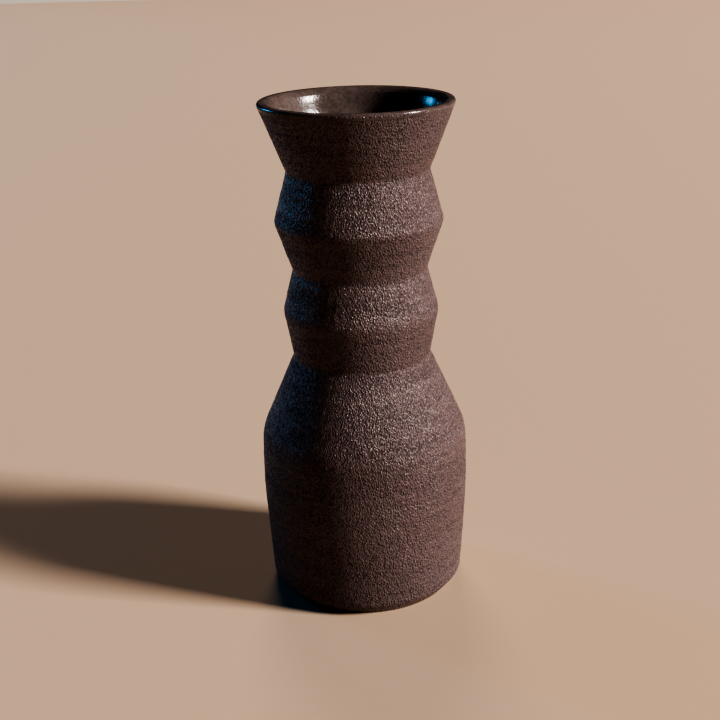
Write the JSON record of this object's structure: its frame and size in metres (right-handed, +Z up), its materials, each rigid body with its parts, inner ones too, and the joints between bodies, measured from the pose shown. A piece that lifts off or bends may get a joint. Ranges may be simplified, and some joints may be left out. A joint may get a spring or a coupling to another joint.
{
  "type": "vase",
  "caption": "Tall thrown stoneware vase: tapered round belly, sloping shoulder, angular rippled neck and a flared mouth, glazed inside and over the lip.",
  "frame": {"origin": "centre of the plane that the foot rests on", "axes": "+Z up, along the axis that the vase was thrown on; X and Y are any pair square to it"},
  "size_m": [0.1006, 0.1004, 0.24],
  "materials": {
    "stoneware": "bare, rough, coarse grogged dark brown stoneware",
    "liner_glaze": "smooth, glossy dark brown glaze"
  },
  "bodies": {
    "root": {"stoneware_body": "stoneware", "liner_glaze": "liner_glaze"}
  },
  "joints": []
}
